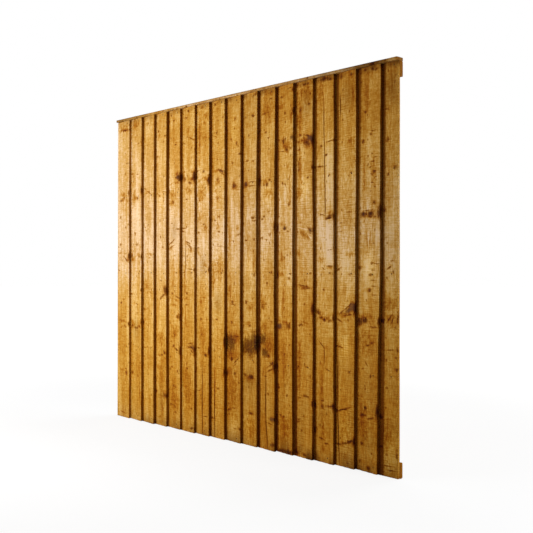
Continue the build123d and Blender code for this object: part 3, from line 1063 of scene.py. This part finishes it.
    # The thick edge's face is darker, partly stain and partly painted shade, and
    # the thin edge's side is darker too. Dirt gathers at the foot. The heads under
    # the cap are darker, partly dirt and partly a painted shadow of the cap, most
    # toward the right. The lower right corner and the last few mm of the foot are
    # darker as well.
    edge = np.zeros_like(u)
    edge[:, front_count:front_count + 4] = 0.8 if number < BOARD_COUNT else 0.0
    edge[:, -2:] = 0.4
    dirt_and_shade = rise(v, HEIGHT - 60.0, HEIGHT) ** 1.5 * FOOT_DIRT.get(number, 0.75)
    dirt_and_shade += rise(v, HEIGHT - top + 26.0, HEIGHT - top) * (0.5 + 1.2 * (x / WIDTH) ** 2)
    dirt_and_shade += 0.35 * low_right(x, z) + 0.7 * rise(z, 6.0, 0.0)
    add_attribute(mesh, "stain_dirt_shade_sheen", edge, dirt_and_shade, stain_and_painted_sheen(x, z))

    material = timber_material(
        f"stained_{name}", board_marks(number), TONES[number - 1], seed, LAPS.get(number))
    return place(mesh, name + "_sawn", material, "boards", name)


for number in range(1, BOARD_COUNT + 1):
    build_board(number)

# Rails and cap


def bar_section(y0, y1, z0, z1, corner):
    """Points around a bar's section, from the front over the foot or near edge
    and up the back, with its corners rounded."""
    deep, tall = y1 - y0, z1 - z0
    steps = np.linspace(0.0, 1.0, BAR_STEPS)
    points = [(y0, z1 - tall * s) for s in steps]
    points += [(y0 + deep * s, z0) for s in (0.3, 0.7)]
    points += [(y1, z0 + tall * s) for s in steps]
    points += [(y0 + deep * s, z1) for s in (0.7, 0.3)]
    # Points that lie near a corner are pulled in to its arc
    middle = np.array([y0 + y1, z0 + z1]) / 2.0
    straight = np.array([deep, tall]) / 2.0 - corner
    offset = np.array(points) - middle
    inset = np.maximum(np.abs(offset) - straight, 0.0)
    length = np.hypot(inset[:, 0], inset[:, 1])
    scale = np.where(length > corner, corner / np.maximum(length, 1e-6), 1.0)
    pulled = np.minimum(np.abs(offset), straight) + inset * scale[:, None]
    return middle + np.sign(offset) * pulled


def cap_dirt_and_shade(along, z, foot, top):
    """Dirt and painted shade on the cap: dirt most on its top, painted shade at its lower edge, and darker
    toward both ends.
    """
    grime_and_shade = np.where(z > top - 1.5, 0.55, 0.0) + np.where(z < foot + 0.5, 0.9, 0.0)
    grime_and_shade = grime_and_shade + np.where(z > top - 4.5, 0.30, 0.0)
    return grime_and_shade + 0.95 * rise(along, 600.0, 0.0) + 1.4 * rise(along, 1350.0, 1650.0) - 0.2


def build_bar(node, seed, slot, tone, marks, corner):
    """A sawn bar that runs along X, in place of a rail or the cap. A rail's
    front stays flat, because the boards lie on it."""
    low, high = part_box(node)
    x0, y0, z0 = (v / MM for v in low)
    x1, y1, z1 = (v / MM for v in high)
    section = bar_section(y0, y1, z0, z1, corner)
    v = np.repeat(np.linspace(x0, x1, BAR_ROWS)[:, None], len(section), 1)
    y, z = (np.repeat(values[None, :], BAR_ROWS, 0) for values in section.T)
    behind, above = y > (y0 + y1) / 2.0, z > (z0 + z1) / 2.0
    ripple = np.abs(wobble(v, z * 3.0 + y, seed, (700.0, 210.0, 60.0), (0.2, 0.15, 0.08)))
    y = np.where(behind, y - 0.05 - 0.6 * ripple, y)
    z = np.where(above, z - 0.5 * ripple, z)
    if slot == "cap":
        y = np.where(behind, y, y + 0.5 * ripple)
    mesh = tube_mesh(node + "_sawn", v, y, z, BAR_STEPS, 2)

    # Coordinates for the material: the section's outline is unrolled
    run = np.cumsum(np.r_[0.0, np.hypot(*np.diff(section, axis=0).T)])
    u = np.repeat(run[None, :], BAR_ROWS, 0)
    add_attribute(mesh, "face", u * MM, v * MM, y * MM)
    flow = wave(v, seed + 1, (900.0, 300.0), (4.0, 1.5))
    add_attribute(mesh, "flow", flow * MM)
    radius = np.hypot(z - (z0 + z1) / 2.0 + flow, 30.0 + y + wave(v, seed + 2, (1700.0,), (14.0,)))
    add_attribute(mesh, "ring", radius * TURN / BAR_RING)
    # How golden the stain is: along the cap as listed, and on a rail as on the boards, with their painted
    # sheen
    add_attribute(mesh, "gold_and_sheen", np.interp(v, *CAP_SOAK) if slot == "cap" else gold_and_painted_sheen(v, z))
    # End grain is darker. The cap has dirt, and painted shade along its lower edge; a rail is a little
    # darker all over.
    end = 0.5 * rise(np.minimum(v - x0, x1 - v), 4.0, 0.0)
    grime_and_shade = cap_dirt_and_shade(v, z, z0, z1) if slot == "cap" else np.full(v.shape, 0.25)
    add_attribute(mesh, "stain_dirt_shade_sheen", end, grime_and_shade, np.zeros_like(u))
    material = timber_material("stained_" + node, marks, tone, seed)
    return place(mesh, node + "_sawn", material, slot, node)


def bar_marks(seed, reach, count):
    """Knots strewn over a bar, up to a distance around its section."""
    rng = np.random.default_rng(seed)
    marks = []
    for _ in range(count):
        at, down = rng.uniform(4.0, reach), rng.uniform(30.0, WIDTH - 30.0)
        size = rng.uniform(4.0, 11.0)
        marks.append(("warm", at, down, size * 2.4, size * 2.8, 0, 0.6))
        marks.append(("dark", at, down, size, size * 0.8, 0, 0.75))
    return marks


RAILS = ("rail_bottom", "rail_middle_1", "rail_middle_2", "rail_middle_3", "rail_top")
for step, node in enumerate(RAILS):
    marks = bar_marks(300 + step, 140.0, 16)
    build_bar(node, 300 + 7 * step, "rails", (0.25, 0.10, 0.6), marks, 3.5)
build_bar("cap", 350, "cap", (-0.10, 0.35, 0.15), bar_marks(351, 90.0, 12), 2.0)

# Nails

NAIL_SIDES = 18
# A nail head's profile: share of its radius, and mm proud of the board
NAIL_PROFILE = ((1.0, -0.5), (1.0, 0.45), (0.86, 0.75), (0.45, 0.9))
nail_verts, nail_faces = [], []


def add_nail(x, y, z, radius, seed):
    """A round, slightly domed and crooked nail head on a board's face."""
    rng = np.random.default_rng(seed)
    tilt_x, tilt_z = rng.uniform(-0.12, 0.12, 2)
    start = len(nail_verts)
    for size, out in NAIL_PROFILE:
        for k in range(NAIL_SIDES):
            angle = TURN * k / NAIL_SIDES
            dx, dz = radius * size * math.cos(angle), radius * size * math.sin(angle)
            tilt = tilt_x * dx + tilt_z * dz
            nail_verts.append(((x + dx) * MM, (y - out + tilt) * MM, (z + dz) * MM))
    nail_verts.append((x * MM, (y - 0.92) * MM, z * MM))
    middle = len(nail_verts) - 1
    for level in range(len(NAIL_PROFILE)):
        for k in range(NAIL_SIDES):
            a = start + level * NAIL_SIDES + k
            b = start + level * NAIL_SIDES + (k + 1) % NAIL_SIDES
            last = level == len(NAIL_PROFILE) - 1
            nail_faces.append((a, b, middle) if last else (a, b, b + NAIL_SIDES, a + NAIL_SIDES))


for number in range(1, BOARD_COUNT + 1):
    c = corners(f"board_{number:02d}")
    head_left, front_left = c["head", "left"][0], c["head", "left"][2]
    head_right, front_right = c["head", "right"][0], c["head", "right"][2]
    rng = np.random.default_rng(500 + number)
    for row, level in enumerate(NAIL_ROWS):
        across = 98.0 + rng.uniform(-7.0, 7.0)
        if number == BOARD_COUNT:
            across = 74.0 + rng.uniform(-5.0, 5.0)
        down = level + rng.uniform(-4.0, 4.0)
        left = head_left + (c["foot", "left"][0] - head_left) * down / HEIGHT
        y = front_left + (front_right - front_left) * across / (head_right - head_left) + 0.3
        add_nail(left + across, y, HEIGHT - down, rng.uniform(2.5, 3.1), 900 + 10 * number + row)

nail_tree = Tree(bpy.data.materials.new("dull_nails"))
where = nail_tree.node("TexCoord", {}).outputs["Object"]
rust = nail_tree.noise(where, (900.0, 900.0, 900.0), 3.0)
rusty = nail_tree.remap(rust, 0.35, 0.6, smooth=False)
nail_tree.surface({
    "Base Color": nail_tree.mix(rusty, srgb(84, 52, 24), srgb(112, 74, 34)),
    "Roughness": nail_tree.remap(rust, 0.3, 0.7, 0.6, 0.85),
    "Specular IOR Level": DULL,
})
nail_mesh = smooth_mesh("nail_heads", nail_verts, nail_faces, 40.0)
place(nail_mesh, "nail_heads", nail_tree.owner, "boards")

# Floor and lamps

# The floor's middle and half its size (m)
FLOOR_X, FLOOR_Z, FLOOR_HALF = 0.9, -0.0005, 30.0


def grey(value):
    return (value, value, value, 1.0)


# Seen straight on, the floor is full white far off, so that no horizon shows,
# and a little less around the panel, so that its shadow does
floor_tree = Tree(bpy.data.materials.new("pale_floor"))
floor_tree.nodes.remove(floor_tree.nodes["Principled BSDF"])
spot = floor_tree.node("NewGeometry", {}).outputs["Position"]
away = floor_tree.vector("LENGTH", floor_tree.vector("SUBTRACT", spot, (FLOOR_X, 0.0, 0.0)))
glow = floor_tree.node("Emission", {"Strength": floor_tree.remap(away, 1.3, 4.0, 0.87, 1.0)})
faint = floor_tree.node("BsdfDiffuse", {"Color": grey(0.12)})
both = floor_tree.node("AddShader", {0: faint.outputs[0], 1: glow.outputs[0]})
matte = floor_tree.node("BsdfDiffuse", {"Color": grey(0.46)})
floor_tree.show(("Is Camera Ray", "Is Glossy Ray"), both, matte, "Material Output")

floor_mesh = bpy.data.meshes.new("floor")
square = ((-1, -1), (1, -1), (1, 1), (-1, 1))
floor_mesh.from_pydata(
    [(FLOOR_X + FLOOR_HALF * x, FLOOR_HALF * y, FLOOR_Z) for x, y in square], [], [(0, 1, 2, 3)])
floor_mesh.materials.append(floor_tree.owner)
floor = bpy.data.objects.new("floor", floor_mesh)
bpy.context.scene.collection.objects.link(floor)

# The sky is white where it is seen, and lights the panel only dimly
world = bpy.data.worlds.new("studio")
bpy.context.scene.world = world
sky_tree = Tree(world)
sky_tree.nodes.remove(sky_tree.nodes["Background"])
dim = sky_tree.node("Background", {"Color": (1.0, 0.98, 0.95, 1.0), "Strength": 0.17})
white = sky_tree.node("Background", {"Color": grey(1.0), "Strength": 1.0})
rays = ("Is Camera Ray", "Is Transmission Ray", "Is Glossy Ray")
sky_tree.show(rays, white, dim, "World Output")

# Lamps: name, place, aim, width and height (m) and power (W)
LAMPS = (
    ("key", (0.40, -1.65, 1.1), (0.58, 0.0, 0.95), 1.4, 0.6, 27.0),
    ("side", (-1.9, -1.5, 1.1), (0.5, 0.0, 0.85), 0.5, 0.7, 27.0),
    ("end_fill", (4.3, 0.75, 0.9), (1.83, 0.0, 0.8), 1.0, 1.2, 42.0),
    ("rear_fill", (1.6, 4.0, 2.6), (0.9, 0.0, 0.8), 2.5, 2.5, 80.0),
    ("top_fill", (0.9, 0.8, 3.6), (0.9, 0.0, 1.5), 2.2, 0.6, 40.0),
)
for name, at, aim, width, height, power in LAMPS:
    light = bpy.data.lights.new(name, "AREA")
    light.shape = "RECTANGLE"
    light.size, light.size_y = width, height
    light.energy = power
    lamp = bpy.data.objects.new(name, light)
    lamp.location = at
    lamp.rotation_euler = (Vector(aim) - Vector(at)).to_track_quat("-Z", "Y").to_euler()
    bpy.context.scene.collection.objects.link(lamp)

# Camera, at the photograph's viewpoint. The photograph's width and its focal
# length are in pixels.
PHOTO_WIDTH, FOCAL_LENGTH = 533.0, 847.5
CAMERA_AT = (3.7345, -2.4425, 0.7556)
YAW, PITCH, ROLL = math.radians(46.909), math.radians(0.201), math.radians(0.081)

camera_data = bpy.data.cameras.new("camera")
camera_data.sensor_width = 36.0
camera_data.lens = FOCAL_LENGTH / PHOTO_WIDTH * camera_data.sensor_width
camera = bpy.data.objects.new("camera", camera_data)
bpy.context.scene.collection.objects.link(camera)
camera.matrix_world = (
    Matrix.Translation(CAMERA_AT)
    @ Matrix.Rotation(YAW, 4, "Z")
    @ Matrix.Rotation(math.pi / 2.0 + PITCH, 4, "X")
    @ Matrix.Rotation(ROLL, 4, "Z")
)
bpy.context.scene.camera = camera
bpy.context.scene.view_settings.view_transform = "Standard"
